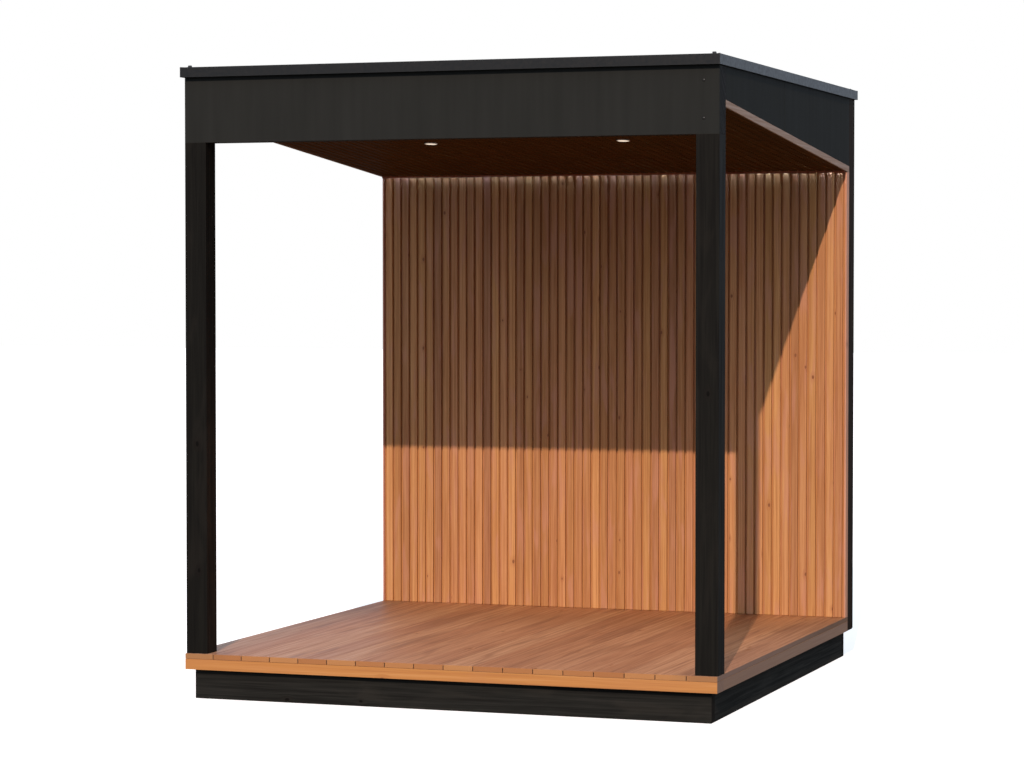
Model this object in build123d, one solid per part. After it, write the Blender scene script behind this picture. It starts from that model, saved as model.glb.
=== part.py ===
"""Garden gazebo: a timber floor on a plinth, two front posts, a slatted back wall and a flat-topped roof.

Millimetres. X runs to the right, Y to the rear and Z up, with the origin on the ground
under the middle of the whole building.
"""

import os

from build123d import *

# Deck: boards run from front to rear on a rim and battens
board_count = 18
board_width = 120
board_gap = 1.5
board_thickness = 21
deck_depth = 2160
rim_height = 42
rim_width = 95
batten_count = 4

# Plinth: a frame of beams on edge that stands back under the deck
plinth_height = 118
plinth_thickness = 45
plinth_inset = 30
plinth_rear_inset = 50
joist_count = 3

# Posts and the two-layer edge of the roof, which is as thick as a post
post_width = 90
post_setback = 12
post_edge = 1
fascia_thickness = 18
fascia_drop = 104
fascia_joint = 2
fascia_joint_share = 0.436

# Back wall: frame, outer cladding and the slatted lining
cladding_thickness = 14
lining_thickness = 32
stud_width = 45
stud_count = 4
sill_height = 45

# Slats of the wall and of the ceiling
slat_width = 31
slat_gap = 9
slat_thickness = 13
slat_edge = 1.5
end_trim = 7

# Ceiling and roof, which fall to the rear from under the front of the parapet
upstand = 42
roof_fall_share = 1 / 12
ceiling_board = 14
rafter_width = 45
rafter_height = 100
rafter_count = 4
roof_boarding = 18
membrane = 3

# Metal coping along the top
total_height = 2500
coping_sheet = 2
coping_drop = 39
coping_inner_drop = 30
coping_front = 25
coping_side = 9
coping_rear = 20
coping_inner = 15

# Lamps, and the batten that hides the light strip from the room
downlight_diameter = 56
downlight_height = 4
downlight_edge = 1.5
downlight_spacing = 840
downlight_depth_share = 0.426
strip_recess = 24
strip_width = 12
strip_height = 6
cove_thickness = 8
cove_drop = 8

# Widths and depths that follow from the sizes above
board_pitch = board_width + board_gap
half_width = (board_count * board_pitch - board_gap) / 2
roof_edge = post_width - fascia_thickness
wall_thickness = post_width + cladding_thickness
body_depth = deck_depth - post_setback + wall_thickness
total_depth = coping_front + body_depth + coping_rear

fascia_front = coping_front - total_depth / 2
deck_front = fascia_front - post_setback
post_back = fascia_front + post_width
frame_front = deck_front + deck_depth
frame_back = frame_front + post_width
wall_back = frame_front + wall_thickness
lining_front = frame_front - lining_thickness
slat_front = lining_front - slat_thickness
slat_rear = slat_front - strip_recess
cove_back = slat_rear + cove_thickness

plinth_half_width = half_width - plinth_inset
plinth_front = deck_front + plinth_inset
plinth_back = wall_back - plinth_rear_inset
inner_half_width = half_width - post_width
field_half_width = half_width - end_trim

# Heights that follow
rim_top = plinth_height + rim_height
deck_top = rim_top + board_thickness
parapet_top = total_height - coping_sheet
ceiling_layer = ceiling_board + slat_thickness
roof_layers = ceiling_layer + rafter_height + roof_boarding + membrane
ceiling_front = parapet_top - upstand - roof_layers
fascia_bottom = ceiling_front - fascia_drop


def ceiling_at(y):
    """Height of the slats' underside at depth y."""
    return ceiling_front - (y - post_back) * roof_fall_share


wall_top = ceiling_at(frame_front) + slat_thickness


def block(x, y, z):
    """Box between the two ends given along each axis."""
    size = (x[1] - x[0], y[1] - y[0], z[1] - z[0])
    return Pos(x[0], y[0], z[0]) * Box(*size, align=(Align.MIN, Align.MIN, Align.MIN))


def falling(x, y, above, thickness):
    """Slab that falls with the roof, its underside this far above the slats' underside."""
    front, rear = (ceiling_at(end) + above for end in y)
    outline = Polygon(
        (y[0], front), (y[1], rear), (y[1], rear + thickness), (y[0], front + thickness), align=None
    )
    return Pos(x[0], 0, 0) * extrude(Plane.YZ * outline, amount=x[1] - x[0])


def under_coping(x, y, above):
    """Upright piece from the falling ceiling up to the level top of the parapet."""
    front, rear = (ceiling_at(end) + above for end in y)
    outline = Polygon((y[0], front), (y[1], rear), (y[1], parapet_top), (y[0], parapet_top), align=None)
    return Pos(x[0], 0, 0) * extrude(Plane.YZ * outline, amount=x[1] - x[0])


def mirrored(x, side):
    """The ends of an X range on the right (1) or the left (-1)."""
    return tuple(sorted(side * end for end in x))


def spread(count, low, high, width):
    """Low ends of pieces of one width, evenly spread with the same space at both ends."""
    space = (high - low - count * width) / (count + 1)
    return [low + space + i * (width + space) for i in range(count)]


def save(name, *solids):
    """Write one node, its solids kept apart."""
    shape = solids[0] if len(solids) == 1 else Compound(children=list(solids))
    export_step(shape, f"parts/{name}.step")


def plinth():
    across = (-plinth_half_width, plinth_half_width)
    height = (0, plinth_height)
    between = (plinth_front + plinth_thickness, plinth_back - plinth_thickness)
    inner = plinth_half_width - plinth_thickness
    save("plinth_front", block(across, (plinth_front, between[0]), height))
    save("plinth_rear", block(across, (between[1], plinth_back), height))
    for name, side in (("plinth_left", -1), ("plinth_right", 1)):
        save(name, block(mirrored((inner, plinth_half_width), side), between, height))
    joists = spread(joist_count, -inner, inner, plinth_thickness)
    save("floor_joists", *(block((x, x + plinth_thickness), between, height) for x in joists))


def deck():
    layer = (plinth_height, rim_top)
    rim_back = deck_front + rim_width
    inner = half_width - rim_width
    save("deck_rim_front", block((-half_width, half_width), (deck_front, rim_back), layer))
    for name, side in (("deck_rim_left", -1), ("deck_rim_right", 1)):
        save(name, block(mirrored((inner, half_width), side), (rim_back, frame_front), layer))
    # the last batten carries the rear ends of the boards
    step = (frame_front - rim_back) / batten_count
    ends = [rim_back + step * (i + 1) for i in range(batten_count)]
    save("deck_battens", *(block((-inner, inner), (end - rim_width, end), layer) for end in ends))
    boards = [-half_width + i * board_pitch for i in range(board_count)]
    depth = (deck_front, frame_front)
    save("deck_boards", *(block((x, x + board_width), depth, (rim_top, deck_top)) for x in boards))


def posts():
    for name, side in (("left_post", -1), ("right_post", 1)):
        across = mirrored((inner_half_width, half_width), side)
        front = block(across, (fascia_front, post_back), (deck_top, fascia_bottom))
        save("front_" + name, chamfer(front.edges().filter_by(Axis.Z), post_edge))
        save("rear_" + name, block(across, (frame_front, frame_back), (plinth_height, parapet_top)))


def slat(plane, x, face, along):
    """One slat: its section, with the two visible edges eased, drawn on a plane and run along a vector."""
    back = face + slat_thickness
    shoulder = face + slat_edge
    outline = Polygon(
        (x, back),
        (x, shoulder),
        (x + slat_edge, face),
        (x + slat_width - slat_edge, face),
        (x + slat_width, shoulder),
        (x + slat_width, back),
        align=None,
    )
    return extrude(plane * outline, amount=along.length, dir=along.normalized())


def slat_places():
    """Left edges of the slats, centred between the end trims with a gap at each end."""
    pitch = slat_width + slat_gap
    count = round((2 * field_half_width - slat_gap) / pitch)
    first = -(count * pitch - slat_gap) / 2
    return [first + i * pitch for i in range(count)]


def back_wall():
    opening = (-inner_half_width, inner_half_width)
    frame = (frame_front, frame_back)
    sill_top = plinth_height + sill_height
    save("back_wall_sill", block(opening, frame, (plinth_height, sill_top)))
    studs = spread(stud_count, *opening, stud_width)
    save("back_wall_studs", *(block((x, x + stud_width), frame, (sill_top, wall_top)) for x in studs))
    save("rear_beam", block(opening, frame, (wall_top, parapet_top)))
    outside = (-half_width, half_width)
    save("back_wall_cladding", block(outside, (frame_back, wall_back), (plinth_height, parapet_top)))

    field = (-field_half_width, field_half_width)
    save("back_wall_lining", block(field, (lining_front, frame_front), (deck_top, wall_top)))
    section = Plane.XY.offset(deck_top)
    upright = Vector(0, 0, wall_top - deck_top)
    save("back_wall_slats", *(slat(section, x, slat_front, upright) for x in slat_places()))
    for name, side in (("wall_end_left", -1), ("wall_end_right", 1)):
        across = mirrored((field_half_width, half_width), side)
        trim = block(across, (slat_front, frame_front), (deck_top, ceiling_at(frame_front)))
        save(name, trim)


def roof_edge_pieces():
    height = (fascia_bottom, parapet_top)
    across = (-half_width, half_width)
    beam_front = fascia_front + fascia_thickness
    save("front_fascia", block(across, (fascia_front, beam_front), height))
    save("front_beam", block(across, (beam_front, post_back), height))
    joint = post_back + (frame_front - post_back) * fascia_joint_share
    panels = {
        "front": (post_back, joint - fascia_joint / 2),
        "rear": (joint + fascia_joint / 2, frame_front),
    }
    for name, side in (("left", -1), ("right", 1)):
        skin = mirrored((half_width - fascia_thickness, half_width), side)
        beam = mirrored((inner_half_width, inner_half_width + roof_edge), side)
        for end, depth in panels.items():
            save(f"{name}_fascia_{end}", under_coping(skin, depth, ceiling_layer))
        save(f"{name}_beam", under_coping(beam, (post_back, frame_front), ceiling_layer))


def roof():
    inside = (-inner_half_width, inner_half_width)
    depth = (post_back, frame_front)
    rafters = spread(rafter_count, *inside, rafter_width)
    save("roof_rafters", *(falling((x, x + rafter_width), depth, ceiling_layer, rafter_height) for x in rafters))
    boarding = ceiling_layer + rafter_height
    save("roof_boarding", falling(inside, depth, boarding, roof_boarding))
    save("roof_membrane", falling(inside, depth, boarding + roof_boarding, membrane))


def ceiling():
    field = (-field_half_width, field_half_width)
    depth = (post_back, frame_front)
    save("ceiling_board", falling(field, depth, slat_thickness, ceiling_board))

    # the slats stop short of the wall, which leaves a recess for the light strip behind a batten
    section = Plane.XZ.offset(-post_back)
    fall = Vector(0, slat_rear - post_back, ceiling_at(slat_rear) - ceiling_front)
    save("ceiling_slats", *(slat(section, x, ceiling_front, fall) for x in slat_places()))
    save("cove_batten", falling(field, (slat_rear, cove_back), -cove_drop, cove_drop + slat_thickness))

    for name, side in (("ceiling_edge_left", -1), ("ceiling_edge_right", 1)):
        save(name, falling(mirrored((field_half_width, half_width), side), depth, 0, ceiling_layer))


def lamps():
    above = slat_thickness - strip_height
    field = (-field_half_width, field_half_width)
    save("wall_light_strip", falling(field, (cove_back, cove_back + strip_width), above, strip_height))

    # the lamp's seat lies against the falling faces of the slats
    y = post_back + (frame_front - post_back) * downlight_depth_share
    disc = Cylinder(downlight_diameter / 2, downlight_height, align=(Align.CENTER, Align.CENTER, Align.MAX))
    rim = disc.edges().sort_by(Axis.Z)[0]
    disc = chamfer(rim, downlight_edge)
    seat = Plane((0, y, ceiling_at(y)), x_dir=(1, 0, 0), z_dir=(0, roof_fall_share, 1))
    for name, side in (("downlight_left", -1), ("downlight_right", 1)):
        save(name, Pos(side * downlight_spacing / 2, 0, 0) * (seat * disc))


def coping():
    out_x = half_width + coping_side
    out_y = (fascia_front - coping_front, wall_back + coping_rear)
    in_x = inner_half_width - coping_inner
    in_y = (post_back + coping_inner, frame_front - coping_inner)

    def ring(grow, z):
        """Plate between the two rims of the coping, drawn in by grow from both."""
        outer = block((-out_x + grow, out_x - grow), (out_y[0] + grow, out_y[1] - grow), z)
        inner = block((-in_x - grow, in_x + grow), (in_y[0] - grow, in_y[1] + grow), z)
        return outer - inner

    whole = ring(0, (total_height - coping_drop, total_height))
    whole -= ring(coping_sheet, (total_height - coping_drop, parapet_top))
    hollow = block((-in_x - coping_sheet, in_x + coping_sheet),
                   (in_y[0] - coping_sheet, in_y[1] + coping_sheet),
                   (total_height - coping_drop, total_height - coping_inner_drop))
    whole -= hollow

    # four lengths meet in mitres that run from the outer to the inner corners
    corners = {
        "coping_front": ((-out_x, out_y[0]), (out_x, out_y[0]), (in_x, in_y[0]), (-in_x, in_y[0])),
        "coping_right": ((out_x, out_y[0]), (out_x, out_y[1]), (in_x, in_y[1]), (in_x, in_y[0])),
        "coping_rear": ((out_x, out_y[1]), (-out_x, out_y[1]), (-in_x, in_y[1]), (in_x, in_y[1])),
        "coping_left": ((-out_x, out_y[1]), (-out_x, out_y[0]), (-in_x, in_y[0]), (-in_x, in_y[1])),
    }
    base = Plane.XY.offset(total_height - coping_drop)
    for name, points in corners.items():
        wedge = extrude(base * Polygon(*points, align=None), amount=coping_drop)
        save(name, whole & wedge)


os.makedirs("parts", exist_ok=True)
plinth()
deck()
posts()
back_wall()
roof_edge_pieces()
roof()
ceiling()
lamps()
coping()
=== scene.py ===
import math
import random

import bpy
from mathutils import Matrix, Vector


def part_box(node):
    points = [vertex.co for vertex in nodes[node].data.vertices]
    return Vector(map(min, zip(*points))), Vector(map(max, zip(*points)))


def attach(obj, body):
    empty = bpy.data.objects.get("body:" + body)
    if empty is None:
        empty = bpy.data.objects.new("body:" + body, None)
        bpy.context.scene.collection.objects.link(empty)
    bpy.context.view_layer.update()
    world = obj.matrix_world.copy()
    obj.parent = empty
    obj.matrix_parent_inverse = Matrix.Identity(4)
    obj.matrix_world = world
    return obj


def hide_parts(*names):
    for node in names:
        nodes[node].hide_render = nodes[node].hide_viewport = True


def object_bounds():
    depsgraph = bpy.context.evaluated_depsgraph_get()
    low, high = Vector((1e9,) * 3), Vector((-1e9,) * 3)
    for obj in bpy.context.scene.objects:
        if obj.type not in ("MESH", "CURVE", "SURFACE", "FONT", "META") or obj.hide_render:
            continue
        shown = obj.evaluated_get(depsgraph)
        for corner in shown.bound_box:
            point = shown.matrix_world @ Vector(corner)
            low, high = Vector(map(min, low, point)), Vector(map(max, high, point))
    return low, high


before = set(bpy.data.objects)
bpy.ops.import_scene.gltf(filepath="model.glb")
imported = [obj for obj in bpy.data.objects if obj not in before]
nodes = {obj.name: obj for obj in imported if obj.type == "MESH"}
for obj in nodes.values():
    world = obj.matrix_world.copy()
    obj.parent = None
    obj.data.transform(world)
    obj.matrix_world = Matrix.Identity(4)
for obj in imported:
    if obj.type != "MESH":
        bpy.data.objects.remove(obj)  # nodes holds the solids by name
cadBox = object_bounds()
mm = 0.001
axes = {"x": Vector((1, 0, 0)), "y": Vector((0, 1, 0)), "z": Vector((0, 0, 1))}
print("frame:", len(nodes), "nodes")


# Small tools that every piece and finish shares

def linear(hexColour):  # sRGB hex to linear RGBA
    channels = [int(hexColour[i:i + 2], 16) / 255 for i in (1, 3, 5)]
    return [c / 12.92 if c <= 0.04045 else ((c + 0.055) / 1.055) ** 2.4 for c in channels] + [1]


def addNode(tree, kind, inputs=None, ramp=None, out=0, **settings):  # gives back the output that is used next
    made = tree.nodes.new("ShaderNode" + kind)
    for name, value in settings.items():
        setattr(made, name, value)
    for key, value in (inputs or {}).items():
        if isinstance(value, bpy.types.NodeSocket):
            tree.links.new(value, made.inputs[key])
        else:
            made.inputs[key].default_value = value
    if ramp:
        stops = made.color_ramp.elements
        while len(stops) < len(ramp):
            stops.new(1)
        for stop, (place, colour) in zip(stops, ramp):
            stop.position = place
            stop.color = linear(colour)
    return made.outputs[out] if made.outputs else None


def newMaterial(name):  # an empty material and its node tree
    material = bpy.data.materials.new(name)
    material.use_nodes = True
    material.node_tree.nodes.clear()
    return material, material.node_tree


def closeMaterial(tree, inputs):  # the shader at the end of every finish
    shader = addNode(tree, "BsdfPrincipled", inputs)
    addNode(tree, "OutputMaterial", {"Surface": shader})


arrisFacing = {"flat": 0.995, "wearAndHighlight": 0.8, "samples": 4}  # how far a rounded normal still matches the face's own


def edgeWearAndHighlight(tree, width, amount):  # 0 on flat faces, up to amount along the arrises: wear, with a painted highlight
    rounded = addNode(tree, "Bevel", {"Radius": width}, samples=arrisFacing["samples"])
    face = addNode(tree, "NewGeometry", out="Normal")
    alike = addNode(tree, "VectorMath", {0: rounded, 1: face}, operation="DOT_PRODUCT", out="Value")
    return addNode(tree, "MapRange", {"Value": alike, "From Min": arrisFacing["flat"], "To Min": 0.0,
                                      "From Max": arrisFacing["wearAndHighlight"], "To Max": amount})


def newShape():  # lists that boards and turned pieces are added to
    return {"verts": [], "faces": [], "tone": [], "seed": []}


def addSolid(shape, verts, faces, tone=0.5, seed=0.0):  # tone and seed give a board its own look
    first = len(shape["verts"])
    shape["verts"] += [tuple(v) for v in verts]
    shape["faces"] += [tuple(first + i for i in face) for face in faces]
    shape["tone"] += [tone] * len(verts)
    shape["seed"] += [seed] * len(verts)


def addBoard(shape, low, high, fall=0.0, tone=0.5, seed=0.0, topFall=None):  # its rear end is lower by fall
    rear = (fall, fall if topFall is None else topFall)
    verts = []
    for y, (lowDrop, highDrop) in ((low.y, (0, 0)), (high.y, rear)):
        verts += [(x, y, z) for z in (low.z - lowDrop, high.z - highDrop) for x in (low.x, high.x)]
    faces = [(0, 1, 3, 2), (4, 6, 7, 5), (0, 4, 5, 1), (2, 3, 7, 6), (0, 2, 6, 4), (1, 5, 7, 3)]
    addSolid(shape, verts, faces, tone, seed)


def addProfile(shape, outline, front, rear, tone, seed):  # outline: (x, z) pairs, the same from front to rear
    corners = len(outline)
    verts = [(x, y, z) for y in (front, rear) for x, z in outline]
    faces = [tuple(range(corners)), tuple(reversed(range(corners, 2 * corners)))]
    faces += [(k, k + corners, (k + 1) % corners + corners, (k + 1) % corners) for k in range(corners)]
    addSolid(shape, verts, faces, tone, seed)


def addTurned(shape, centre, axis, profile, steps):  # profile: (radius, height) pairs, from axis to axis
    turn = Vector(axis).to_track_quat("Z", "Y").to_matrix()
    rings = [p for p in profile if p[0] > 0]
    angles = [2 * math.pi * i / steps for i in range(steps)]
    verts = []
    for r, h in rings:
        verts += [Vector(centre) + turn @ Vector((r * math.cos(a), r * math.sin(a), h)) for a in angles]
    faces = []
    for k in range(len(rings) - 1):
        a, b = k * steps, (k + 1) * steps
        faces += [(a + i, a + (i + 1) % steps, b + (i + 1) % steps, b + i) for i in range(steps)]
    for ring, height in ((0, profile[0][1]), (len(rings) - 1, profile[-1][1])):
        verts.append(Vector(centre) + turn @ Vector((0, 0, height)))
        tip = len(verts) - 1
        for i in range(steps):
            a, b = ring * steps + i, ring * steps + (i + 1) % steps
            faces.append((tip, b, a) if ring == 0 else (tip, a, b))
    addSolid(shape, verts, faces)


weldReach = 0.01 * mm  # joins the corners of the solids' faces, which come in one by one
sharpAngle = math.radians(30)


def easeEdges(piece, width, segments=2):  # rounds the arrises of a piece or of a node that stays
    weld = piece.modifiers.new("weld", "WELD")
    weld.merge_threshold = weldReach
    ease = piece.modifiers.new("ease", "BEVEL")
    ease.width = width
    ease.segments = segments
    ease.limit_method = "ANGLE"
    ease.angle_limit = sharpAngle
    ease.harden_normals = True


def makePiece(name, shape, material, stands=(), smooth=False):  # stands: the nodes it stands in for
    mesh = bpy.data.meshes.new(name)
    mesh.from_pydata(shape["verts"], [], shape["faces"])
    for label in ("tone", "seed"):
        mesh.attributes.new(label, "FLOAT", "POINT").data.foreach_set("value", shape[label])
    mesh.materials.append(material)
    mesh.polygons.foreach_set("use_smooth", [smooth] * len(mesh.polygons))
    mesh.update()
    piece = bpy.data.objects.new(name, mesh)
    bpy.context.scene.collection.objects.link(piece)
    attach(piece, "root")
    if stands:
        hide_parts(*stands)
    return piece


def dress(names, material, ease=0.0):  # gives nodes that stay their finish
    for name in names:
        slots = nodes[name].data.materials
        slots.clear()
        slots.append(material)
        if ease:
            easeEdges(nodes[name], ease)


# Timber: sawn along the trunk, so streaks run with the board, knots are cut across and ends show rings
logShift = (31.7, 57.1, 83.9)  # metres, far enough that no two boards come from one place in a log
knots = {
    "smallest": 0.5,  # of the knot radius
    "stretch": 0.6, "core": (0.55, 1.0), "halo": (0.8, 3.5), "bend": 0.8, "warmth": 0.4, "rise": 0.5,
}
streakNoise = {"Scale": 1.0, "Roughness": 0.55, "Distortion": 0.4}
patchEdge = (0.5, 0.72)
endFacing = (0.75, 0.95)  # how squarely a face has to look along the board to show its end grain
sideFacing = (0.7, 0.95)
sideShare = 0.8
waveRepeat = 0.314  # metres between the rings of a wave texture at scale 1
ringWobble = 1.5
deckDepth = (-1.1, 1.0)  # metres, from the deck's front edge to the wall
skyReflectionEdge = (0.9, 1.0)  # metres from the middle, where the painted sky reflection fades in
glossGrain = (0.35, 0.65)


def timber(name, look, along, perPiece=False):
    material, tree = newMaterial(name)
    run = axes[along]
    cross = Vector((1, 1, 1)) - run
    place = addNode(tree, "TexCoord", out="Object")
    if perPiece:
        tone = addNode(tree, "Attribute", attribute_name="tone", out="Fac")
        seed = addNode(tree, "Attribute", attribute_name="seed", out="Fac")
    else:
        tone = seed = addNode(tree, "ObjectInfo", out="Random")
    shift = addNode(tree, "VectorMath", {0: logShift, "Scale": seed}, operation="SCALE")
    moved = addNode(tree, "VectorMath", {0: place, 1: shift}, operation="ADD")
    u = addNode(tree, "VectorMath", {0: moved, 1: cross}, operation="DOT_PRODUCT", out="Value")
    v = addNode(tree, "VectorMath", {0: moved, 1: run}, operation="DOT_PRODUCT", out="Value")
    board = addNode(tree, "CombineXYZ", {"X": u, "Y": v})

    # knots sit in some of the cells, and the streaks bend round them
    across, lengthwise = look["knotSpacing"]
    perMetre = (1 / across, 1 / lengthwise, 0)
    cells = addNode(tree, "VectorMath", {0: board, 1: perMetre}, operation="MULTIPLY")
    cell = addNode(tree, "TexVoronoi", {"Vector": cells, "Scale": 1.0}, voronoi_dimensions="2D").node
    away = addNode(tree, "VectorMath", {0: cells, 1: cell.outputs["Position"]}, operation="SUBTRACT")
    stretch = (across, knots["stretch"] * lengthwise, 0)
    away = addNode(tree, "VectorMath", {0: away, 1: stretch}, operation="MULTIPLY")
    reach = addNode(tree, "VectorMath", {0: away}, operation="LENGTH", out="Value")
    draw = addNode(tree, "SeparateColor", {0: cell.outputs["Color"]}).node
    chosen = addNode(tree, "Math", {0: draw.outputs[0], 1: look["knotShare"]}, operation="LESS_THAN")
    largest = look["knotRadius"]
    size = addNode(tree, "MapRange", {"Value": draw.outputs[1], "To Min": knots["smallest"] * largest,
                                      "To Max": largest})
    ratio = addNode(tree, "Math", {0: reach, 1: size}, operation="DIVIDE")
    rounds = []
    for near, far in (knots["core"], knots["halo"]):
        fade = {"Value": ratio, "From Min": near, "From Max": far, "To Min": chosen, "To Max": 0.0}
        rounds.append(addNode(tree, "MapRange", fade, interpolation_type="SMOOTHSTEP"))
    core, halo = rounds
    pull = addNode(tree, "Math", {0: halo, 1: -knots["bend"]}, operation="MULTIPLY")
    bend = addNode(tree, "VectorMath", {0: away, "Scale": pull}, operation="SCALE")
    bent = addNode(tree, "VectorMath", {0: board, 1: bend}, operation="ADD")

    streaks = []
    for width, length, detail in (look["rings"], look["fibre"], look["patches"]):
        perMetre = (1 / width, 1 / length, 0)
        scaled = addNode(tree, "VectorMath", {0: bent, 1: perMetre}, operation="MULTIPLY")
        streak = dict(streakNoise, Vector=scaled, Detail=detail)
        streaks.append(addNode(tree, "TexNoise", streak, noise_dimensions="2D"))
    ringTone, fibreTone, patchTone = streaks
    fibreShare = addNode(tree, "Math", {0: fibreTone, 1: look["fibreShare"]}, operation="MULTIPLY")
    grain = addNode(tree, "Math", {0: ringTone, 1: 1 - look["fibreShare"], 2: fibreShare},
                    operation="MULTIPLY_ADD")
    colour = addNode(tree, "ValToRGB", {0: grain}, ramp=look["grain"])
    shade = addNode(tree, "ValToRGB", {0: tone}, ramp=look["tones"])
    colour = addNode(tree, "Mix", {0: 1.0, 6: colour, 7: shade}, data_type="RGBA",
                     blend_type="MULTIPLY", out=2)
    patch = addNode(tree, "MapRange", {"Value": patchTone, "From Min": patchEdge[0], "From Max": patchEdge[1],
                                       "To Max": look["patchShare"]}, interpolation_type="SMOOTHSTEP")
    colour = addNode(tree, "Mix", {0: patch, 6: colour, 7: linear(look["patch"])}, data_type="RGBA", out=2)
    warm = addNode(tree, "Math", {0: halo, 1: knots["warmth"]}, operation="MULTIPLY")
    colour = addNode(tree, "Mix", {0: warm, 6: colour, 7: linear(look["halo"])}, data_type="RGBA", out=2)
    colour = addNode(tree, "Mix", {0: core, 6: colour, 7: linear(look["knot"])}, data_type="RGBA", out=2)

    # sawn ends: rings about a far pith, drawn as wide as they need to show
    normal = addNode(tree, "NewGeometry", out="Normal")
    facing = addNode(tree, "VectorMath", {0: normal, 1: run}, operation="DOT_PRODUCT", out="Value")
    facing = addNode(tree, "Math", {0: facing}, operation="ABSOLUTE")
    isEnd = addNode(tree, "MapRange", {"Value": facing, "From Min": endFacing[0], "From Max": endFacing[1]})
    ringScale = waveRepeat / look["endRing"]
    wave = {"Vector": moved, "Scale": ringScale, "Distortion": ringWobble}
    ringWave = addNode(tree, "TexWave", wave, out="Fac", wave_type="RINGS", rings_direction=along.upper())
    ends = addNode(tree, "ValToRGB", {0: ringWave}, ramp=look["ends"])
    ends = addNode(tree, "Mix", {0: 1.0, 6: ends, 7: shade}, data_type="RGBA", blend_type="MULTIPLY", out=2)
    colour = addNode(tree, "Mix", {0: isEnd, 6: colour, 7: ends}, data_type="RGBA", out=2)
    # On the deck and rim the side colour is greyer, partly weathering and partly a painted reflection of the sky;
    # on the ceiling slats it is lighter, painted light in the grooves between them.
    if "side" in look:  # sideways faces take the side colour, in part painted light
        sideways = addNode(tree, "SeparateXYZ", {0: normal}, out="X")
        sideways = addNode(tree, "Math", {0: sideways}, operation="ABSOLUTE")
        sideTint = addNode(tree, "MapRange", {"Value": sideways, "From Min": sideFacing[0],
                                               "From Max": sideFacing[1], "To Max": sideShare})
        colour = addNode(tree, "Mix", {0: sideTint, 6: colour, 7: linear(look["side"])},
                         data_type="RGBA", out=2)
    if "paintedWallShade" in look:  # painted shade: the boards turn darker and yellower towards the wall, under the roof
        deep = addNode(tree, "SeparateXYZ", {0: place}, out="Y")
        deep = addNode(tree, "MapRange", {"Value": deep, "From Min": deckDepth[0], "From Max": deckDepth[1]})
        wallShadeTint = addNode(tree, "ValToRGB", {0: deep}, ramp=look["paintedWallShade"])
        colour = addNode(tree, "Mix", {0: 1.0, 6: colour, 7: wallShadeTint}, data_type="RGBA",
                         blend_type="MULTIPLY", out=2)
    if "paintedSkyReflection" in look:  # painted sky reflection: the boards turn greyer and bluer along the open sides
        aside = addNode(tree, "SeparateXYZ", {0: place}, out="X")
        aside = addNode(tree, "Math", {0: aside}, operation="ABSOLUTE")
        skyReflectionShare = addNode(tree, "MapRange", {"Value": aside, "From Min": skyReflectionEdge[0], "From Max": skyReflectionEdge[1]})
        colour = addNode(tree, "Mix", {0: skyReflectionShare, 6: colour, 7: linear(look["paintedSkyReflection"])}, data_type="RGBA",
                         blend_type="MULTIPLY", out=2)
    # the arrises lighter: wear, with a painted highlight
    wearAndHighlight = edgeWearAndHighlight(tree, look["edgeWidth"], look["edgeShare"])
    colour = addNode(tree, "Mix", {0: wearAndHighlight, 6: colour, 7: linear(look["edge"])}, data_type="RGBA", out=2)

    smooth, rough = look["roughness"]
    roughness = addNode(tree, "MapRange", {"Value": grain, "To Min": rough, "To Max": smooth,
                                           "From Min": glossGrain[0], "From Max": glossGrain[1]})
    height = addNode(tree, "Math", {0: core, 1: knots["rise"], 2: grain}, operation="MULTIPLY_ADD")
    relief = addNode(tree, "Bump", {"Strength": 1.0, "Distance": look["relief"], "Height": height})
    closeMaterial(tree, {"Base Color": colour, "Roughness": roughness, "Normal": relief, "IOR": look["ior"],
                         "Specular IOR Level": look["sheen"]})
    return material


# Larch, planed and oiled: honey to rosy brown, each slat from another log, small dark knots, satin
larchSlat = {
    "grain": [(0.34, "#b87f53"), (0.5, "#cb9464"), (0.66, "#d9a676")],
    "tones": [(0.0, "#d8ccca"), (0.2, "#e6dcc6"), (0.4, "#efe2e0"), (0.6, "#f3efd5"), (0.8, "#f9f0e9"),
              (1.0, "#fffce6")],
    "rings": (9 * mm, 700 * mm, 3),
    "fibre": (2.5 * mm, 160 * mm, 2),  # true fibre is finer, and drawn this wide to show
    "fibreShare": 0.35,
    "patches": (45 * mm, 330 * mm, 2),
    "patch": "#c98f78",
    "patchShare": 0.4,
    "knotSpacing": (70 * mm, 330 * mm),
    "knotShare": 0.16,
    "knotRadius": 7 * mm,
    "knot": "#8a5634",
    "halo": "#b0744a",
    "ends": [(0.2, "#b27a4f"), (0.8, "#cf9a6c")],
    "endRing": 4 * mm,
    "edge": "#d8a67c",
    "edgeWidth": 2 * mm,
    "edgeShare": 0.25,
    "roughness": (0.42, 0.58),
    "relief": 0.25 * mm,
    "ior": 1.45,
    "sheen": 0.4,
}

# The larch board behind the slats, of one tone
larchLining = dict(larchSlat, tones=[(0.0, "#f2e9d6"), (1.0, "#f2e9d6")], knotShare=0.05)

# The batten at the end of the ceiling, a little darker than the wall: painted shade, as it lies in the roof's shade
larchShadedCove = dict(
    larchSlat,
    tones=[(0.0, "#ecdcd0"), (0.5, "#f4e6d6"), (1.0, "#fbecdc")],
    grain=[(0.34, "#84482e"), (0.5, "#98583b"), (0.66, "#af6b4a")],
    patch="#81442e", knot="#2f1a0e", halo="#6c3927", edge="#a5674a",
    ends=[(0.2, "#6d472c"), (0.8, "#835838")],
)

# The same larch overhead, darker: painted shade, as the ceiling lies in the roof's shade
larchShadedCeiling = dict(
    larchShadedCove,
    grain=[(0.34, "#4f3317"), (0.5, "#593d1d"), (0.66, "#644925")],
    patch="#52361d", knot="#25170c", halo="#462d18", edge="#684e2d",
    ends=[(0.2, "#543d20"), (0.8, "#654a28")],
    # lighter slat sides: painted light in the grooves
    side="#8a5f35",
    sheen=0.01,
)

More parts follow.
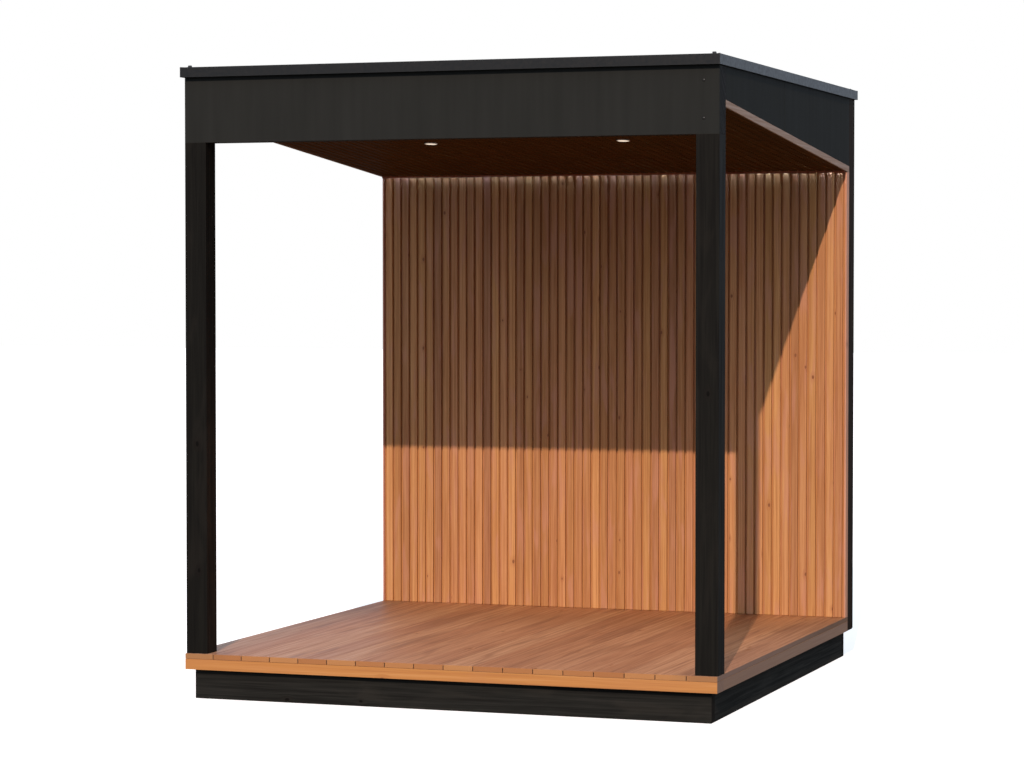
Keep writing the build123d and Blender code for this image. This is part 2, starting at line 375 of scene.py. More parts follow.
# Larch decking, oiled and walked on: redder, in long soft streaks, with a gloss that catches light from above
larchDeck = dict(
    larchSlat,
    grain=[(0.3, "#a87a60"), (0.5, "#c59271"), (0.7, "#d6aa88")],
    tones=[(0.0, "#e8d7cc"), (0.35, "#f4e8e0"), (0.7, "#fcf5ee"), (1.0, "#fffcf6")],
    rings=(14 * mm, 900 * mm, 4),
    fibre=(4 * mm, 260 * mm, 3),
    patches=(75 * mm, 800 * mm, 3),
    patch="#946349", patchShare=0.65,
    knotSpacing=(130 * mm, 620 * mm), knotShare=0.3, knotRadius=10 * mm,
    ends=[(0.2, "#b17c4e"), (0.8, "#c79460")],
    # greyer sides: partly weathering, partly a painted reflection of the sky
    side="#90715e",
    # painted shade, darker towards the wall
    paintedWallShade=[(0.0, "#ffffff"), (0.5, "#faf5ec"), (0.8, "#dbd0ba"), (1.0, "#e1d2b2")],
    # painted sky reflection along the open sides
    paintedSkyReflection="#eaf2ff",
    edge="#c79673", edgeShare=0.2,
    roughness=(0.42, 0.58), relief=0.4 * mm, sheen=0.45,
)

# Larch rim under the boards: one long orange face with knots, its sides greyer, partly from the weather and partly
# a painted reflection of the sky
larchRim = dict(
    larchDeck,
    grain=[(0.3, "#bc824e"), (0.5, "#cd9354"), (0.7, "#d9a46b")],
    tones=[(0.0, "#f6ede4"), (1.0, "#fffaf4")],
    patches=(90 * mm, 500 * mm, 3), patch="#c58857", patchShare=0.3,
    knotSpacing=(90 * mm, 700 * mm), knotShare=0.35, knotRadius=9 * mm, knot="#7a4a28", halo="#ad703f",
    side="#836d63",
    paintedWallShade=[(0.0, "#ffffff"), (1.0, "#ffffff")], paintedSkyReflection="#ffffff",
)

# Larch end trims: paler, cut from sapwood
larchTrim = dict(
    larchSlat,
    grain=[(0.34, "#c48a75"), (0.5, "#d39b86"), (0.66, "#e0ab97")],
    patch="#b98a73", halo="#a06f55", knotShare=0.15,
    edge="#c79c8a", edgeShare=0.1,
)

# The same sapwood along the ceiling's edge, weathered grey
larchEave = dict(
    larchTrim,
    grain=[(0.34, "#a98b7c"), (0.5, "#b69a8a"), (0.66, "#c2a89a")],
    patch="#a18778", halo="#8f7263", edge="#b8a093",
)

# Spruce under a black stain: matt, the grain standing up, brown showing through where it wears, the arrises lighter
# with wear and a painted highlight
blackSpruce = dict(
    larchSlat,
    grain=[(0.34, "#151514"), (0.5, "#1a1a18"), (0.66, "#20201d")],
    tones=[(0.0, "#e8e8e8"), (1.0, "#ffffff")],
    rings=(12 * mm, 600 * mm, 3),
    fibre=(3 * mm, 150 * mm, 3),
    patches=(110 * mm, 320 * mm, 3),
    patch="#23211e", patchShare=0.5,
    knotSpacing=(110 * mm, 420 * mm), knotShare=0.3, knotRadius=11 * mm, knot="#0d0c0b", halo="#1c1816",
    ends=[(0.2, "#121110"), (0.8, "#1c1a19")],
    edge="#332e29", edgeWidth=3 * mm, edgeShare=0.35,
    roughness=(0.5, 0.7), relief=0.4 * mm, sheen=0.08,
)

# The same stain on the plinth's rougher timber: thinner, blotchy
plinthSpruce = dict(
    blackSpruce,
    grain=[(0.34, "#222221"), (0.5, "#2a2b29"), (0.66, "#333331")],
    patch="#393733", halo="#2a2825", knot="#151413",
    ends=[(0.2, "#1b1917"), (0.8, "#2a2724")],
    patchShare=0.35, sheen=0.02,
)

# The same stain at the wall's ends: browner
brownSpruce = dict(
    blackSpruce,
    grain=[(0.34, "#211914"), (0.5, "#291f18"), (0.66, "#32271e")],
    patch="#3e2f24", halo="#2b2119", knot="#140f0c",
    ends=[(0.2, "#1b1613"), (0.8, "#2a221c")],
    sheen=0.03,
)

# Spruce framing: planed, pale and untreated, out of the weather
framingSpruce = dict(
    larchSlat,
    grain=[(0.34, "#b9935f"), (0.5, "#c8a573"), (0.66, "#d5b485")],
    tones=[(0.0, "#e6dccb"), (1.0, "#ffffff")],
    rings=(12 * mm, 800 * mm, 3),
    patch="#b58c58", knotShare=0.4, knotRadius=14 * mm, knotSpacing=(120 * mm, 500 * mm),
    ends=[(0.2, "#b08a58"), (0.8, "#cdaa78")],
    edge="#d8bd92", roughness=(0.55, 0.7), sheen=0.3,
)

# Plywood over the ceiling slats, stained near their tone so that it stays in the background: darker than the wall's
# larch as painted shade, and a little lighter than the slats as painted light in the grooves between them
ceilingPly = dict(
    larchShadedCeiling,
    grain=[(0.34, "#623e1c"), (0.5, "#6e4922"), (0.66, "#7a562b")],
    tones=[(0.0, "#f4e6d6"), (1.0, "#f4e6d6")],
    rings=(30 * mm, 500 * mm, 3),
    knotShare=0.1,
    roughness=(0.6, 0.75),
)


noiseSpan = (0.3, 0.7)  # where most values of a noise texture lie


def paintedBoard():  # plywood board, charcoal paint by roller: matt, a fine stipple, faint rain streaks
    look = {
        "paint": [(0.3, "#2a2c2b"), (0.7, "#2f3130")],
        "edge": "#3b3935",
        "edgeWidth": 2.5 * mm,
        "edgeShare": 0.35,
        "cloud": 350 * mm,
        "stipple": 5 * mm,  # a roller's stipple is finer, and drawn this wide to show
        "streak": (40 * mm, 600 * mm),
        "cloudShare": 0.5,
        "roughness": (0.48, 0.62),
        "relief": 0.12 * mm,
        "ior": 1.5,
        "sheen": 0.012,
    }
    material, tree = newMaterial("charcoal_painted_board")
    place = addNode(tree, "TexCoord", out="Object")
    cloud = addNode(tree, "TexNoise", {"Vector": place, "Scale": 1 / look["cloud"], "Detail": 3.0})
    wide, tall = look["streak"]
    perMetre = (1 / wide, 1 / wide, 1 / tall)
    falls = addNode(tree, "VectorMath", {0: place, 1: perMetre}, operation="MULTIPLY")
    streak = addNode(tree, "TexNoise", {"Vector": falls, "Scale": 1.0, "Detail": 2.0})
    both = addNode(tree, "Math", {0: cloud, 1: look["cloudShare"], 2: streak}, operation="MULTIPLY_ADD")
    both = addNode(tree, "Math", {0: both, 1: 1 + look["cloudShare"]}, operation="DIVIDE")
    colour = addNode(tree, "ValToRGB", {0: both}, ramp=look["paint"])
    # the arrises lighter: wear, with a painted highlight
    wearAndHighlight = edgeWearAndHighlight(tree, look["edgeWidth"], look["edgeShare"])
    colour = addNode(tree, "Mix", {0: wearAndHighlight, 6: colour, 7: linear(look["edge"])}, data_type="RGBA", out=2)
    stipple = addNode(tree, "TexNoise", {"Vector": place, "Scale": 1 / look["stipple"], "Detail": 2.0})
    smooth, rough = look["roughness"]
    roughness = addNode(tree, "MapRange", {"Value": both, "To Min": smooth, "To Max": rough,
                                           "From Min": noiseSpan[0], "From Max": noiseSpan[1]})
    relief = addNode(tree, "Bump", {"Strength": 1.0, "Distance": look["relief"], "Height": stipple})
    closeMaterial(tree, {"Base Color": colour, "Roughness": roughness, "Normal": relief, "IOR": look["ior"],
                         "Specular IOR Level": look["sheen"]})
    return material


def coatedSteel():  # galvanised sheet, folded and coated dark grey: satin, slightly buckled, dust on top
    look = {
        "coat": [(0.3, "#121312"), (0.7, "#171716")],
        "dust": "#3c3c3a",
        "dustEdge": (0.4, 0.7),
        "dustShare": 0.5,
        "buckle": 180 * mm,
        "speckle": 14 * mm,
        "edge": "#63676a",
        "edgeWidth": 2 * mm,
        "edgeShare": 0.4,
        "roughness": (0.3, 0.42),
        "relief": 0.9 * mm,
        "ior": 1.5,
        "sheen": 0.5,
    }
    material, tree = newMaterial("coated_steel_sheet")
    place = addNode(tree, "TexCoord", out="Object")
    buckle = addNode(tree, "TexNoise", {"Vector": place, "Scale": 1 / look["buckle"], "Detail": 1.0})
    speckle = addNode(tree, "TexNoise", {"Vector": place, "Scale": 1 / look["speckle"], "Detail": 4.0})
    colour = addNode(tree, "ValToRGB", {0: speckle}, ramp=look["coat"])
    normal = addNode(tree, "NewGeometry", out="Normal")
    up = addNode(tree, "SeparateXYZ", {0: normal}, out="Z")
    dusty = addNode(tree, "Math", {0: up, 1: speckle}, operation="MULTIPLY")
    clean, covered = look["dustEdge"]
    dusty = addNode(tree, "MapRange", {"Value": dusty, "From Min": clean, "From Max": covered,
                                       "To Max": look["dustShare"]})
    colour = addNode(tree, "Mix", {0: dusty, 6: colour, 7: linear(look["dust"])}, data_type="RGBA", out=2)
    # the arrises lighter: wear, with a painted highlight
    wearAndHighlight = edgeWearAndHighlight(tree, look["edgeWidth"], look["edgeShare"])
    colour = addNode(tree, "Mix", {0: wearAndHighlight, 6: colour, 7: linear(look["edge"])}, data_type="RGBA", out=2)
    smooth, rough = look["roughness"]
    roughness = addNode(tree, "MapRange", {"Value": speckle, "To Min": smooth, "To Max": rough,
                                           "From Min": noiseSpan[0], "From Max": noiseSpan[1]})
    relief = addNode(tree, "Bump", {"Strength": 1.0, "Distance": look["relief"], "Height": buckle})
    closeMaterial(tree, {"Base Color": colour, "Roughness": roughness, "Normal": relief, "IOR": look["ior"],
                         "Specular IOR Level": look["sheen"]})
    return material


def rubberSheet():  # calendered rubber roofing: dull, near black, chalky where water has stood
    look = {
        "rubber": [(0.35, "#232425"), (0.75, "#2f3031")],
        "chalk": "#56565a",
        "chalkEdge": (0.5, 0.7),
        "chalkShare": 0.45,
        "pool": 420 * mm,
        "grit": 6 * mm,
        "roughness": (0.6, 0.9),
        "relief": 0.3 * mm,
        "ior": 1.5,
        "sheen": 0.3,
    }
    material, tree = newMaterial("rubber_roofing")
    place = addNode(tree, "TexCoord", out="Object")
    grit = addNode(tree, "TexNoise", {"Vector": place, "Scale": 1 / look["grit"], "Detail": 3.0})
    pool = addNode(tree, "TexNoise", {"Vector": place, "Scale": 1 / look["pool"], "Detail": 4.0})
    colour = addNode(tree, "ValToRGB", {0: grit}, ramp=look["rubber"])
    clean, covered = look["chalkEdge"]
    chalky = addNode(tree, "MapRange", {"Value": pool, "From Min": clean, "From Max": covered,
                                        "To Max": look["chalkShare"]})
    colour = addNode(tree, "Mix", {0: chalky, 6: colour, 7: linear(look["chalk"])}, data_type="RGBA", out=2)
    smooth, rough = look["roughness"]
    roughness = addNode(tree, "MapRange", {"Value": pool, "To Min": smooth, "To Max": rough})
    relief = addNode(tree, "Bump", {"Strength": 1.0, "Distance": look["relief"], "Height": grit})
    closeMaterial(tree, {"Base Color": colour, "Roughness": roughness, "Normal": relief, "IOR": look["ior"],
                         "Specular IOR Level": look["sheen"]})
    return material


# Steel, turned and blackened: dark grey, dull
screwSteel = {
    "tones": [(0.3, "#3b3b3b"), (0.7, "#555555")],
    "metallic": 1.0,
    "roughness": (0.35, 0.55),
    "grit": 3 * mm,
    "relief": 0.1 * mm,
    "reliefShare": 0.6,
}

# Aluminium, extruded and anodised black: near black, satin
blackAluminium = dict(
    screwSteel,
    tones=[(0.3, "#202122"), (0.7, "#2c2d2e")],
    roughness=(0.3, 0.5), grit=4 * mm,
)

# White lacquer, sprayed on pressed steel: warm white, satin
whiteLacquer = dict(
    screwSteel,
    tones=[(0.3, "#dedbd4"), (0.7, "#efece6")],
    metallic=0.0, roughness=(0.3, 0.5), grit=6 * mm,
)


def plainMetal(name, look):  # small pieces, bare or lacquered: a little uneven
    material, tree = newMaterial(name)
    place = addNode(tree, "TexCoord", out="Object")
    noise = addNode(tree, "TexNoise", {"Vector": place, "Scale": 1 / look["grit"], "Detail": 3.0})
    colour = addNode(tree, "ValToRGB", {0: noise}, ramp=look["tones"])
    smooth, rough = look["roughness"]
    uneven = addNode(tree, "MapRange", {"Value": noise, "To Min": smooth, "To Max": rough})
    relief = addNode(tree, "Bump", {"Strength": look["reliefShare"], "Distance": look["relief"],
                                    "Height": noise})
    closeMaterial(tree, {"Base Color": colour, "Roughness": uneven, "Normal": relief,
                         "Metallic": look["metallic"]})
    return material


def opalDiffuser(name, glow, strength):  # moulded opal acrylic, lit from behind: even glow, soft mottling
    look = {"acrylic": [(0.3, "#f3efe6"), (0.7, "#fffcf4")], "mottle": 8 * mm, "roughness": 0.35}
    material, tree = newMaterial(name)
    place = addNode(tree, "TexCoord", out="Object")
    mottle = addNode(tree, "TexNoise", {"Vector": place, "Scale": 1 / look["mottle"], "Detail": 2.0})
    colour = addNode(tree, "ValToRGB", {0: mottle}, ramp=look["acrylic"])
    closeMaterial(tree, {"Base Color": colour, "Roughness": look["roughness"], "Emission Color": linear(glow),
                         "Emission Strength": strength})
    return material


finishes = {
    "slatWall": timber("larch_oiled_wall", larchSlat, "z", perPiece=True),
    "slatCeiling": timber("larch_ceiling_painted_shade", larchShadedCeiling, "y", perPiece=True),
    "deck": timber("larch_oiled_deck", larchDeck, "y", perPiece=True),
    "lining": timber("larch_oiled_lining", larchLining, "z"),
    "cove": timber("larch_cove_painted_shade", larchShadedCove, "x"),
    "rimAcross": timber("larch_oiled_rim_across", larchRim, "x"),
    "rimDeep": timber("larch_oiled_rim_deep", larchRim, "y"),
    "trimUpright": timber("larch_trim_upright", larchTrim, "z"),
    "trimEave": timber("larch_trim_weathered", larchEave, "y"),
    "blackAcross": timber("spruce_black_across", blackSpruce, "x"),
    "blackUpright": timber("spruce_black_upright", blackSpruce, "z"),
    "plinthAcross": timber("spruce_plinth_across", plinthSpruce, "x"),
    "plinthDeep": timber("spruce_plinth_deep", plinthSpruce, "y"),
    "brownUpright": timber("spruce_brown_upright", brownSpruce, "z"),
    "blackBoards": timber("spruce_black_boards", blackSpruce, "z", perPiece=True),
    "frameAcross": timber("spruce_framing_across", framingSpruce, "x"),
    "frameDeep": timber("spruce_framing_deep", framingSpruce, "y"),
    "frameUpright": timber("spruce_framing_upright", framingSpruce, "z"),
    "plyDeep": timber("plywood_stained_ceiling", ceilingPly, "y"),
    "panel": paintedBoard(),
    "steel": coatedSteel(),
    "rubber": rubberSheet(),
    "screw": plainMetal("screw_blackened_steel", screwSteel),
    "channel": plainMetal("channel_black_aluminium", blackAluminium),
    "bezel": plainMetal("bezel_white_lacquer", whiteLacquer),
    "lens": opalDiffuser("lens_opal_acrylic", glow="#fff1dc", strength=0.85),
    "strip": opalDiffuser("strip_opal_acrylic", glow="#a6ceff", strength=350.0),
}
print("finishes:", len(finishes))


# Nodes that stay, with eased arrises
arrises = {
    "plinth": 2 * mm, "frontPost": 0.4 * mm, "rearPost": 2 * mm, "frame": 1.5 * mm, "rim": 0.3 * mm,
    "trim": 1 * mm, "fascia": 1.2 * mm, "coping": 0.8 * mm,
}
dress(["plinth_front", "plinth_rear"], finishes["plinthAcross"], arrises["plinth"])
dress(["plinth_left", "plinth_right"], finishes["plinthDeep"], arrises["plinth"])
dress(["front_left_post", "front_right_post"], finishes["blackUpright"], arrises["frontPost"])
dress(["rear_left_post", "rear_right_post"], finishes["brownUpright"], arrises["rearPost"])
dress(["front_beam"], finishes["blackAcross"], arrises["frame"])
dress(["floor_joists", "left_beam", "right_beam", "roof_rafters"], finishes["frameDeep"], arrises["frame"])
dress(["deck_battens", "back_wall_sill", "rear_beam", "roof_boarding"], finishes["frameAcross"],
      arrises["frame"])
dress(["back_wall_studs"], finishes["frameUpright"], arrises["frame"])
dress(["deck_rim_front"], finishes["rimAcross"], arrises["rim"])
dress(["deck_rim_left", "deck_rim_right"], finishes["rimDeep"], arrises["rim"])
dress(["back_wall_lining"], finishes["lining"])
dress(["ceiling_board"], finishes["plyDeep"])
dress(["cove_batten"], finishes["cove"], arrises["trim"])
dress(["wall_end_left", "wall_end_right"], finishes["trimUpright"], arrises["trim"])
dress(["ceiling_edge_left", "ceiling_edge_right"], finishes["trimEave"], arrises["trim"])
dress(["front_fascia", "left_fascia_front", "left_fascia_rear", "right_fascia_front", "right_fascia_rear"],
      finishes["panel"], arrises["fascia"])
dress(["coping_front", "coping_left", "coping_right", "coping_rear"], finishes["steel"], arrises["coping"])
dress(["roof_membrane"], finishes["rubber"])
print("nodes dressed")


# Wall slats: separate lengths of larch, no two alike
wallSlats = {"count": 54, "width": 31 * mm, "ease": 3 * mm, "easeSteps": 3, "play": 0.4 * mm, "seed": 11}
low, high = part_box("back_wall_slats")
pitch = (high.x - low.x - wallSlats["width"]) / (wallSlats["count"] - 1)
dice = random.Random(wallSlats["seed"])
shape = newShape()
for i in range(wallSlats["count"]):
    left = low.x + i * pitch + dice.uniform(-1, 1) * wallSlats["play"]
    start = Vector((left, low.y + dice.uniform(0, 1) * wallSlats["play"], low.z))
    end = Vector((left + wallSlats["width"], high.y, high.z))
    addBoard(shape, start, end, tone=dice.random(), seed=dice.random())
piece = makePiece("wall_slats", shape, finishes["slatWall"], ["back_wall_slats"])
easeEdges(piece, wallSlats["ease"], wallSlats["easeSteps"])
print("wall slats:", wallSlats["count"])


# Ceiling slats: the same section, falling to the rear
ceilingSlope = 1 / 12
ceilingSlats = {
    "count": 54, "width": 31 * mm, "thickness": 13 * mm,
    "ease": 3 * mm, "easeSteps": 3, "play": 0.4 * mm, "seed": 12,
}
low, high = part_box("ceiling_slats")
frontUnder = high.z - ceilingSlats["thickness"]
dice = random.Random(ceilingSlats["seed"])
shape = newShape()
for i in range(ceilingSlats["count"]):
    left = low.x + i * pitch + dice.uniform(-1, 1) * ceilingSlats["play"]
    start = Vector((left, low.y, frontUnder))
    end = Vector((left + ceilingSlats["width"], high.y, high.z))
    addBoard(shape, start, end, frontUnder - low.z, dice.random(), dice.random())
piece = makePiece("ceiling_slats_laid", shape, finishes["slatCeiling"],
                  ["ceiling_slats"])
easeEdges(piece, ceilingSlats["ease"], ceilingSlats["easeSteps"])
print("ceiling slats:", ceilingSlats["count"])


# Deck boards: tongued, so that the joints close on top and stay open under a thin lip
deckBoards = {
    "count": 18, "width": 120 * mm, "swell": 0.65 * mm, "play": 0.3 * mm,
    "lip": 2.5 * mm, "undercut": 1.5 * mm,
    "seat": 1.0 * mm,  # a fine shadow between rim and boards
    "ease": 0.3 * mm, "seed": 13,
}
low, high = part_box("deck_boards")
boardPitch = (high.x - low.x - deckBoards["width"]) / (deckBoards["count"] - 1)
under = low.z + deckBoards["seat"]
dice = random.Random(deckBoards["seed"])
shape = newShape()
for i in range(deckBoards["count"]):
    swell = deckBoards["swell"] - dice.uniform(0, 1) * deckBoards["play"]
    atLeft = i > 0  # a joint on this side, since the outer edges stay flush with the rim
    atRight = i < deckBoards["count"] - 1
    left = low.x + i * boardPitch - swell * atLeft
    right = low.x + i * boardPitch + deckBoards["width"] + swell * atRight
    top = high.z - dice.uniform(0, 1) * deckBoards["play"]
    lip = top - deckBoards["lip"]
    innerLeft = left + deckBoards["undercut"]
    innerRight = right - deckBoards["undercut"]
    outline = [(right, top), (left, top)]
    outline += [(left, lip), (innerLeft, lip), (innerLeft, under)] if atLeft else [(left, under)]
    outline += [(innerRight, under), (innerRight, lip), (right, lip)] if atRight else [(right, under)]
    addProfile(shape, outline, low.y, high.y, dice.random(), dice.random())
piece = makePiece("deck_boards_laid", shape, finishes["deck"], ["deck_boards"])
easeEdges(piece, deckBoards["ease"])
print("deck boards:", deckBoards["count"])


# Rear cladding: upright boards with open V joints
cladding = {"count": 18, "joint": 1 * mm, "ease": 4 * mm, "easeSteps": 1, "seed": 14}
low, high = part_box("back_wall_cladding")
claddingPitch = (high.x - low.x) / cladding["count"]
dice = random.Random(cladding["seed"])
shape = newShape()
for i in range(cladding["count"]):
    left = low.x + i * claddingPitch + (cladding["joint"] if i else 0)
    start = Vector((left, low.y, low.z))
    end = Vector((low.x + (i + 1) * claddingPitch, high.y, high.z))
    addBoard(shape, start, end, tone=dice.random(), seed=dice.random())
piece = makePiece("rear_cladding_boards", shape, finishes["blackBoards"],
                  ["back_wall_cladding"])
easeEdges(piece, cladding["ease"], cladding["easeSteps"])
print("rear cladding boards:", cladding["count"])


# Fascia screws: two domed heads above the right post
fasciaScrews = {"head": 5.5 * mm, "dome": 2.5 * mm, "inset": 60 * mm, "levels": (0.2, 0.68), "steps": 20}
low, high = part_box("front_fascia")
shape = newShape()
head, dome = fasciaScrews["head"], fasciaScrews["dome"]
screwProfile = [(0, dome), (0.45 * head, 0.95 * dome), (0.8 * head, 0.65 * dome),
                (head, 0.1 * dome), (head, 0), (0, 0)]
for level in fasciaScrews["levels"]:
    seat = (high.x - fasciaScrews["inset"], low.y, low.z + level * (high.z - low.z))
    addTurned(shape, seat, (0, -1, 0), screwProfile, fasciaScrews["steps"])
makePiece("fascia_screws", shape, finishes["screw"], smooth=True)

# Coping screws: flat heads along the edge, with a bolt at each corner
copingScrews = {
    "washer": 8 * mm, "head": 5 * mm, "height": 2.2 * mm,
    "inset": 30 * mm, "spacing": 430 * mm, "steps": 16,
}
cornerBolts = {"washer": 12 * mm, "head": 8 * mm, "height": 9 * mm}
high = cadBox[1]
shape = newShape()
insetX = high[0] - copingScrews["inset"]
insetY = high[1] - copingScrews["inset"]
rows = [((-insetX, -insetY), (insetX, -insetY)), ((insetX, -insetY), (insetX, insetY)),
        ((insetX, insetY), (-insetX, insetY)), ((-insetX, insetY), (-insetX, -insetY))]
for (x0, y0), (x1, y1) in rows:
    steps = round(math.hypot(x1 - x0, y1 - y0) / copingScrews["spacing"])
    for i in range(steps):
        fixing = copingScrews if i else cornerBolts  # each row starts at a corner
        washer, head, tall = fixing["washer"], fixing["head"], fixing["height"]
        profile = [(0, tall), (0.8 * head, 0.95 * tall), (head, 0.75 * tall), (head, 0.3 * tall),
                   (washer, 0.2 * tall), (washer, 0), (0, 0)]
        seat = (x0 + (x1 - x0) * i / steps, y0 + (y1 - y0) * i / steps, high[2])
        addTurned(shape, seat, (0, 0, 1), profile, copingScrews["steps"])
makePiece("coping_screws", shape, finishes["screw"], smooth=True)
print("screws placed")


# Roof covering: turned up against the roof edge on all sides, its sheets welded with laps
roofSheet = {
    "count": 3, "thick": 3 * mm, "top": 10 * mm,
    "lap": 50 * mm, "lapHeight": 2.5 * mm, "ease": 1 * mm,
}
low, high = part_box("roof_membrane")
thick = roofSheet["thick"]
fall = high.z - low.z - thick
top = cadBox[1][2] - roofSheet["top"]
shape = newShape()
for x in (low.x, high.x - thick):
    addBoard(shape, Vector((x, low.y, high.z)), Vector((x + thick, high.y, top)), fall, topFall=0.0)
addBoard(shape, Vector((low.x + thick, low.y, high.z)), Vector((high.x - thick, low.y + thick, top)))
addBoard(shape, Vector((low.x + thick, high.y - thick, high.z - fall)), Vector((high.x - thick, high.y, top)))
for i in range(1, roofSheet["count"]):
    x = low.x + i / roofSheet["count"] * (high.x - low.x)
    start = Vector((x - roofSheet["lap"] / 2, low.y + thick, high.z))
    end = Vector((x + roofSheet["lap"] / 2, high.y - thick, high.z + roofSheet["lapHeight"]))
    addBoard(shape, start, end, fall)
easeEdges(makePiece("roof_upstands_and_laps", shape, finishes["rubber"]), roofSheet["ease"])

# Coping corners: a bead of sealant along each mitre
mitreBead = {"width": 5 * mm, "height": 1.2 * mm, "back": 2 * mm, "crown": 0.4}
outer = Vector(cadBox[1])
rows = [(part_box("coping_front")[1].y, cadBox[0][1]), (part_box("coping_rear")[0].y, outer.y)]
shape = newShape()
for side in (-1, 1):
    for innerY, outerY in rows:
        start = Vector((side * outer.x, outerY, outer.z))
        end = Vector((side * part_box("coping_right")[0].x, innerY, outer.z))
        along = (end - start).normalized()
        across = Vector((-along.y, along.x, 0)) * mitreBead["width"] / 2
        start += along * mitreBead["back"]
        end -= along * mitreBead["back"]
        rise = Vector((0, 0, mitreBead["height"]))
        crown = across * mitreBead["crown"]
        verts = [start - across, start + across, end + across, end - across]
        verts += [v + rise for v in (start - crown, start + crown, end + crown, end - crown)]
        faces = [(0, 3, 2, 1), (4, 5, 6, 7), (0, 1, 5, 4), (1, 2, 6, 5), (2, 3, 7, 6), (3, 0, 4, 7)]
        addSolid(shape, verts, faces)
makePiece("coping_mitre_beads", shape, finishes["rubber"])
print("roof details placed")


# Downlights: a lacquered bezel with a lit lens set back in it
downlight = {
    "bezel": 28 * mm, "lens": 25 * mm, "proud": 4 * mm, "setBack": 1 * mm,
    "ease": 0.4 * mm, "steps": 48,
}
wide, lens, proud = downlight["bezel"], downlight["lens"], downlight["proud"]
bezelProfile = [(0, 0), (wide, 0), (wide, 0.6 * proud), (0.94 * wide, 0.9 * proud), (0.86 * wide, proud),
                (lens, proud), (0.96 * lens, proud - downlight["setBack"]), (0, 0.4 * proud)]
lensProfile = [(0, 0.5 * proud), (0.97 * lens, 0.5 * proud), (0.97 * lens, 0.75 * proud),
               (0.6 * lens, 0.85 * proud), (0, 0.88 * proud)]
fall = math.atan(ceilingSlope)
down = Vector((0, -math.sin(fall), -math.cos(fall)))
for side in ("left", "right"):
    low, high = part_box("downlight_" + side)
    seat = (low + high) / 2 - down * proud / 2
    ring = newShape()
    addTurned(ring, seat, down, bezelProfile, downlight["steps"])
    bezel = makePiece(f"downlight_{side}_bezel", ring, finishes["bezel"],
                      [f"downlight_{side}"], smooth=True)
    easeEdges(bezel, downlight["ease"])
    glass = newShape()
    addTurned(glass, seat, down, lensProfile, downlight["steps"])
    makePiece(f"downlight_{side}_lens", glass, finishes["lens"], smooth=True)
print("downlights placed")


# Light strip: a black bar between ceiling and wall, with a slot above each slat and a lens set back in it
lightStrip = {"wall": 1 * mm, "slot": 4 * mm, "depth": 5 * mm, "setBack": 2 * mm}
low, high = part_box("wall_light_strip")
low.z += ceilingSlope * (high.y - low.y)  # the strip follows the ceiling
tall = high.z - low.z
slotRear = high.y - lightStrip["wall"]
slotFront = slotRear - lightStrip["depth"]
slotTop = tall - lightStrip["wall"]


def addStripBar(shape, x0, x1, y0, y1, under, over):  # heights from the strip's underside
    drop = ceilingSlope * (y0 - low.y)
    start = Vector((x0, y0, low.z + under - drop))
    end = Vector((x1, y1, low.z + over - drop))
    addBoard(shape, start, end, ceilingSlope * (y1 - y0))


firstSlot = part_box("back_wall_slats")[0].x + (wallSlats["width"] - lightStrip["slot"]) / 2
slotEdges = [firstSlot + i * pitch for i in range(wallSlats["count"])]
barEdges = [low.x] + [edge + lightStrip["slot"] for edge in slotEdges]
shape = newShape()
addStripBar(shape, low.x, high.x, low.y, slotFront, 0, tall)
addStripBar(shape, low.x, high.x, slotRear, high.y, 0, tall)
addStripBar(shape, low.x, high.x, slotFront, slotRear, slotTop, tall)
for left, right in zip(barEdges, slotEdges + [high.x]):
    addStripBar(shape, left, right, slotFront, slotRear, 0, slotTop)
makePiece("light_strip_channel", shape, finishes["channel"], ["wall_light_strip"])
shape = newShape()
for edge in slotEdges:
    addStripBar(shape, edge, edge + lightStrip["slot"], slotFront, slotRear, lightStrip["setBack"], slotTop)
makePiece("light_strip_lenses", shape, finishes["strip"])
print("light strip placed")


# Floor, light and camera
backdropPaper = {
    "half": 60.0, "colour": "#f2f2f2", "roughness": 0.9, "sheen": 0.1,
    "glow": "#ffffff", "glowStrength": 0.5,
}
mesh = bpy.data.meshes.new("floor")
half = backdropPaper["half"]
mesh.from_pydata([(-half, -half, 0), (half, -half, 0), (half, half, 0), (-half, half, 0)], [], [(0, 1, 2, 3)])
floor = bpy.data.objects.new("floor", mesh)
bpy.context.scene.collection.objects.link(floor)
paper, tree = newMaterial("studio_paper")  # matt white paper, lit so that it shows no edge
closeMaterial(tree, {"Base Color": linear(backdropPaper["colour"]), "Roughness": backdropPaper["roughness"],
                     "Specular IOR Level": backdropPaper["sheen"],
                     "Emission Color": linear(backdropPaper["glow"]),
                     "Emission Strength": backdropPaper["glowStrength"]})
mesh.materials.append(paper)
floor.visible_diffuse = False  # the paper shows, and its bounce is left to the world's lower half
floor.visible_glossy = False

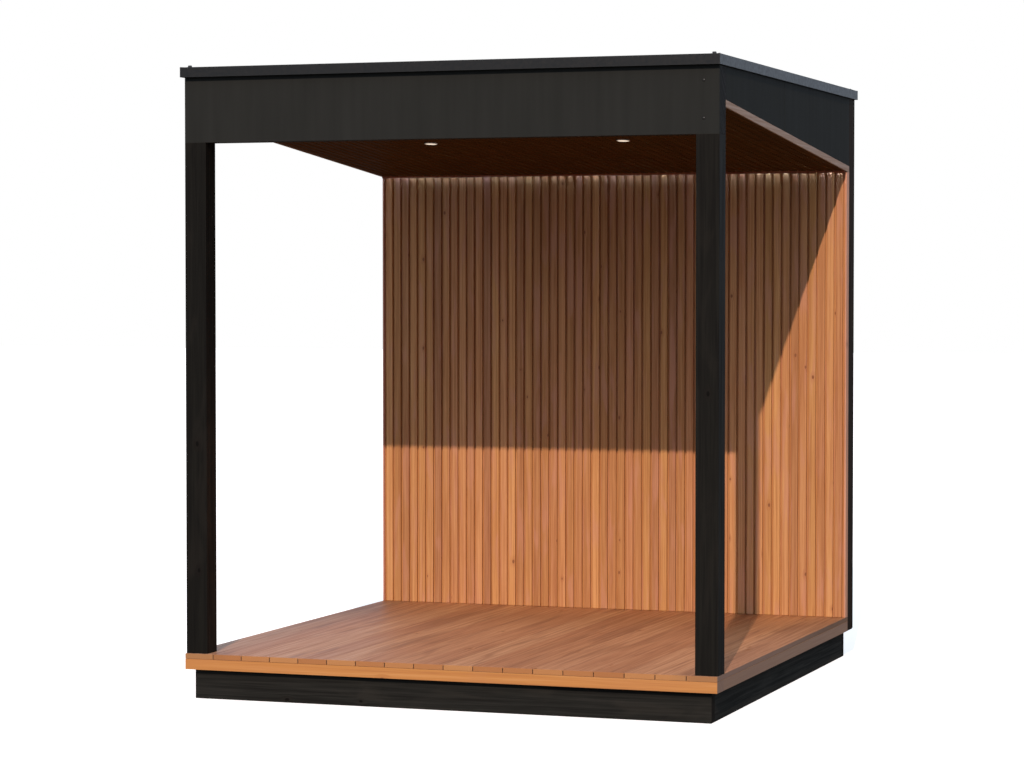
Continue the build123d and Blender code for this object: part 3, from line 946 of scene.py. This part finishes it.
studio = {
    "key": 2.7,
    "keyColour": "#ffe3cf",
    "keyAngle": 0.5,
    "toKey": (0.163, -0.838, 0.520),
    "dome": [(0.0, "#6c6662"), (0.49, "#6c6662"), (0.51, "#bbc8da"), (1.0, "#d8e2f0")],
    "domeStrength": 1.0,
    "backdrop": "#ffffff",
    "backdropStrength": 1.0,
}
light = bpy.data.lights.new("key", "SUN")
light.energy = studio["key"]
light.color = linear(studio["keyColour"])[:3]
light.angle = math.radians(studio["keyAngle"])
key = bpy.data.objects.new("key", light)
key.rotation_euler = Vector(studio["toKey"]).to_track_quat("Z", "Y").to_euler()
bpy.context.scene.collection.objects.link(key)

world = bpy.data.worlds.new("studio")
world.use_nodes = True
tree = world.node_tree
tree.nodes.clear()
direction = addNode(tree, "TexCoord", out="Generated")
up = addNode(tree, "SeparateXYZ", {0: direction}, out="Z")
level = addNode(tree, "MapRange", {"Value": up, "From Min": -1.0, "From Max": 1.0})
domeColour = addNode(tree, "ValToRGB", {0: level}, ramp=studio["dome"])
dome = addNode(tree, "Background", {"Color": domeColour, "Strength": studio["domeStrength"]})
backdrop = addNode(tree, "Background", {"Color": linear(studio["backdrop"]),
                                        "Strength": studio["backdropStrength"]})
seen = addNode(tree, "LightPath", out="Is Camera Ray")
mixed = addNode(tree, "MixShader", {0: seen, 1: dome, 2: backdrop})
addNode(tree, "OutputWorld", {"Surface": mixed})
bpy.context.scene.world = world

view = {
    "place": (4.0492, -11.8897, 1.6388), "tilt": -1.875, "turn": 19.308,
    "lens": 105.28, "sensor": 36.0, "reach": 200,
}
camera = bpy.data.objects.new("camera", bpy.data.cameras.new("camera"))
camera.location = view["place"]
camera.rotation_euler = (math.radians(90 + view["tilt"]), 0, math.radians(view["turn"]))
camera.data.lens = view["lens"]
camera.data.sensor_width = view["sensor"]
camera.data.clip_end = view["reach"]
bpy.context.scene.collection.objects.link(camera)
bpy.context.scene.camera = camera
bpy.context.scene.view_settings.view_transform = "Standard"
print("stage set")
